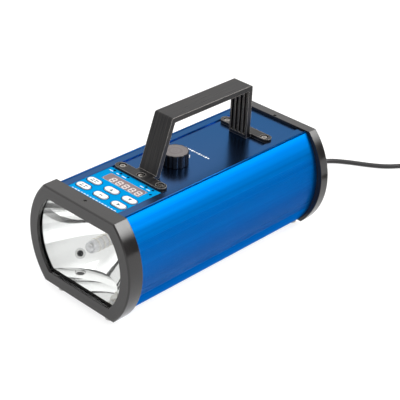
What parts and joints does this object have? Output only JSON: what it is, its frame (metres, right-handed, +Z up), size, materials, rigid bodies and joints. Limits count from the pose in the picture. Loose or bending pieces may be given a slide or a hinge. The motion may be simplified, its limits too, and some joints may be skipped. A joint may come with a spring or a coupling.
{
  "type": "stroboscopic timing light",
  "caption": "Portable xenon flash stroboscope: blue ribbed aluminium case with black end rings, mirror reflector, keypad, knob, carrying handle and mains cord.",
  "frame": {"origin": "on the surface that the feet stand on, under the middle of the case", "axes": "+Y runs along the case from the lamp end to the cord end, +X is to the right seen from the front, +Z is up"},
  "size_m": [0.2425, 0.4791, 0.158],
  "materials": {
    "blue_anodised": "satin anodised",
    "black_plastic": "satin, fine grain",
    "knob_grey": "satin",
    "window_glass": "clear",
    "tube_glass": "clear",
    "black_rubber": "matt",
    "cord_black": "satin",
    "mirror": "polished",
    "bright_steel": "plated",
    "white_ceramic": "matt",
    "blue_membrane": "satin print",
    "white_key": "satin",
    "display_grey": "satin",
    "dark_plastic": "matt",
    "board_green": "solder mask",
    "panel_black": "powder coat",
    "heat_sink_metal": "plain",
    "foot_grey": "matt"
  },
  "bodies": {
    "case": {"bezel_screw": "bright_steel", "board_posts": "bright_steel", "control_board": "board_green", "cord_coil": "cord_black", "cord_tail": "cord_black", "display_module": "dark_plastic", "display_window": "display_grey", "encoder": "black_plastic", "encoder_nut": "bright_steel", "flash_capacitors": "dark_plastic", "flash_tube": "tube_glass", "front_bezel": "black_plastic", "front_feet": "foot_grey", "front_glass": "window_glass", "glass_gasket": "black_rubber", "handle": "black_plastic", "handle_nuts": "bright_steel", "handle_screws_front": "bright_steel", "handle_screws_rear": "bright_steel", "heat_sink": "heat_sink_metal", "housing": "blue_anodised", "indicator_lamps": "dark_plastic", "jack_nut": "black_plastic", "key_switches": "dark_plastic", "lamp_socket": "white_ceramic", "membrane_panel": "blue_membrane", "panel_screws": "bright_steel", "plug_pins": "bright_steel", "power_board": "board_green", "power_cord": "cord_black", "power_plug": "cord_black", "power_transformer": "dark_plastic", "rear_feet": "foot_grey", "rear_panel": "panel_black", "rear_ring": "black_plastic", "reflector": "mirror", "ring_screw": "bright_steel", "sensor_bush": "bright_steel", "socket_bracket": "bright_steel", "strain_relief": "black_rubber", "switch_frame": "black_plastic", "trigger_coil": "dark_plastic", "trigger_jack": "bright_steel", "trigger_wire": "bright_steel", "tube_base": "white_ceramic", "tube_electrodes": "bright_steel"},
    "knob": {"knob": "black_plastic", "knob_cap": "knob_grey", "knob_index": "white_key", "encoder_shaft": "bright_steel"},
    "rocker": {"power_rocker": "dark_plastic"},
    "key_1": {"key_1": "white_key"},
    "key_2": {"key_2": "white_key"},
    "key_3": {"key_3": "white_key"},
    "key_4": {"key_4": "white_key"},
    "key_5": {"key_5": "white_key"},
    "key_6": {"key_6": "white_key"}
  },
  "joints": [
    {"name": "knob_turn", "type": "hinge", "parent": "case", "child": "knob", "pos_m": [0, -0.01455, 0.11], "axis": [0, 0, 1], "continuous": true},
    {"name": "rocker_tilt", "type": "hinge", "parent": "case", "child": "rocker", "pos_m": [0.024, 0.1235, 0.044], "axis": [1, 0, 0], "range_deg": [0, 20]},
    {"name": "key_1_press", "type": "slide", "parent": "case", "child": "key_1", "axis": [0, 0, -1], "range_m": [0, 0.0004], "stiffness_N_per_m": 1500},
    {"name": "key_2_press", "type": "slide", "parent": "case", "child": "key_2", "axis": [0, 0, -1], "range_m": [0, 0.0004], "stiffness_N_per_m": 1500},
    {"name": "key_3_press", "type": "slide", "parent": "case", "child": "key_3", "axis": [0, 0, -1], "range_m": [0, 0.0004], "stiffness_N_per_m": 1500},
    {"name": "key_4_press", "type": "slide", "parent": "case", "child": "key_4", "axis": [0, 0, -1], "range_m": [0, 0.0004], "stiffness_N_per_m": 1500},
    {"name": "key_5_press", "type": "slide", "parent": "case", "child": "key_5", "axis": [0, 0, -1], "range_m": [0, 0.0004], "stiffness_N_per_m": 1500},
    {"name": "key_6_press", "type": "slide", "parent": "case", "child": "key_6", "axis": [0, 0, -1], "range_m": [0, 0.0004], "stiffness_N_per_m": 1500}
  ]
}
